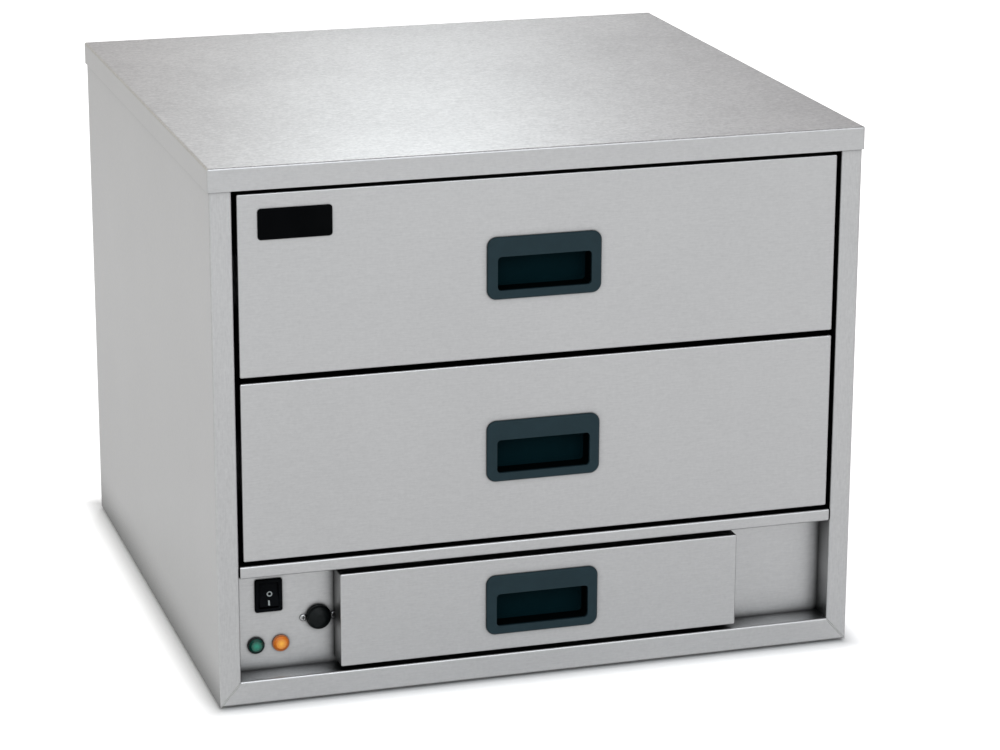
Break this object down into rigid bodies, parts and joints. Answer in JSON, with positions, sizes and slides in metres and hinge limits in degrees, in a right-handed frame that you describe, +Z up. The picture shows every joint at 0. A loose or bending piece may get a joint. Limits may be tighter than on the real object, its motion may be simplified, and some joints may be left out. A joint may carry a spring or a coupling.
{
  "type": "countertop warming drawer",
  "caption": "Stainless countertop cabinet with heated pan drawers on telescopic runners over a shallow water drawer, with rocker switch, thermostat dial and signal lamps.",
  "frame": {"origin": "on the resting surface under the middle of the bounding box", "axes": "+X to the right seen from the front, -Y towards the user at the front, +Z up"},
  "size_m": [0.603, 0.5986, 0.495],
  "materials": {
    "brushed_skin": "fine horizontal brush",
    "inner_steel": "dull mill finish",
    "pan_steel": "satin drawn steel",
    "plated_steel": "zinc plated",
    "screw_steel": "bright",
    "element_sheath": "dark annealed sheath",
    "copper_capillary": "copper",
    "handle_plastic": "fine moulded grain, slate",
    "switch_black": "black",
    "knob_black": "black",
    "lamp_black": "near black rim",
    "lamp_amber_rim": "brown orange rim",
    "lens_green": "clear green",
    "lens_amber": "clear amber",
    "terminal_white": "cream",
    "gland_black": "black",
    "foot_rubber": "black",
    "mineral_wool": "pressed slab"
  },
  "bodies": {
    "cabinet": {"top_cover": "brushed_skin", "side_panel_left": "brushed_skin", "side_panel_right": "brushed_skin", "base_panel": "brushed_skin", "rear_panel": "brushed_skin", "front_rail": "brushed_skin", "upper_rail": "brushed_skin", "control_fascia": "brushed_skin", "liner_left": "inner_steel", "liner_right": "inner_steel", "liner_rear": "inner_steel", "liner_top": "inner_steel", "liner_floor": "inner_steel", "element_supports": "inner_steel", "water_guide_left": "inner_steel", "water_guide_right": "inner_steel", "insulation_left": "mineral_wool", "insulation_right": "mineral_wool", "insulation_top": "mineral_wool", "insulation_rear": "mineral_wool", "rear_screws": "screw_steel", "heating_element": "element_sheath", "switch_housing": "switch_black", "thermostat_body": "plated_steel", "thermostat_screws": "screw_steel", "thermostat_bulb": "copper_capillary", "green_lamp_body": "lamp_black", "green_lamp_lens": "lens_green", "amber_lamp_body": "lamp_amber_rim", "amber_lamp_lens": "lens_amber", "terminal_block": "terminal_white", "cable_gland": "gland_black", "gland_nut": "gland_black", "feet": "foot_rubber", "drawer_1_runner_outers": "plated_steel", "drawer_2_runner_outers": "plated_steel"},
    "drawer_1": {"drawer_1_front": "brushed_skin", "drawer_1_inner_skin": "inner_steel", "drawer_1_handle": "handle_plastic", "drawer_1_carrier": "inner_steel", "drawer_1_pan": "pan_steel", "drawer_1_screws": "screw_steel", "drawer_1_runner_inners": "plated_steel"},
    "drawer_1_middles": {"drawer_1_runner_middles": "plated_steel"},
    "drawer_2": {"drawer_2_front": "brushed_skin", "drawer_2_inner_skin": "inner_steel", "drawer_2_handle": "handle_plastic", "drawer_2_carrier": "inner_steel", "drawer_2_pan": "pan_steel", "drawer_2_screws": "screw_steel", "drawer_2_runner_inners": "plated_steel"},
    "drawer_2_middles": {"drawer_2_runner_middles": "plated_steel"},
    "water_drawer": {"water_drawer_front": "brushed_skin", "water_drawer_inner_skin": "inner_steel", "water_drawer_handle": "handle_plastic", "water_tray": "inner_steel"},
    "power_rocker": {"switch_rocker": "switch_black"},
    "thermostat_dial": {"thermostat_knob": "knob_black", "thermostat_shaft": "plated_steel"}
  },
  "joints": [
    {"name": "drawer_1_slide", "type": "slide", "parent": "cabinet", "child": "drawer_1", "axis": [0, -1, 0], "range_m": [0, 0.46]},
    {"name": "drawer_1_middle_slide", "type": "slide", "parent": "cabinet", "child": "drawer_1_middles", "axis": [0, -1, 0], "range_m": [0, 0.23]},
    {"name": "drawer_2_slide", "type": "slide", "parent": "cabinet", "child": "drawer_2", "axis": [0, -1, 0], "range_m": [0, 0.46]},
    {"name": "drawer_2_middle_slide", "type": "slide", "parent": "cabinet", "child": "drawer_2_middles", "axis": [0, -1, 0], "range_m": [0, 0.23]},
    {"name": "water_drawer_slide", "type": "slide", "parent": "cabinet", "child": "water_drawer", "axis": [0, -1, 0], "range_m": [0, 0.25]},
    {"name": "power_rocker_tilt", "type": "hinge", "parent": "cabinet", "child": "power_rocker", "pos_m": [-0.2485, -0.26925, 0.0958], "axis": [1, 0, 0], "range_deg": [0, 20]},
    {"name": "thermostat_dial_turn", "type": "hinge", "parent": "cabinet", "child": "thermostat_dial", "pos_m": [-0.203, -0.27175, 0.071], "axis": [0, 1, 0], "range_deg": [0, 270]}
  ],
  "couplings": [
    {"joint": "drawer_1_middle_slide", "follows": "drawer_1_slide", "ratio": 0.5},
    {"joint": "drawer_2_middle_slide", "follows": "drawer_2_slide", "ratio": 0.5}
  ]
}
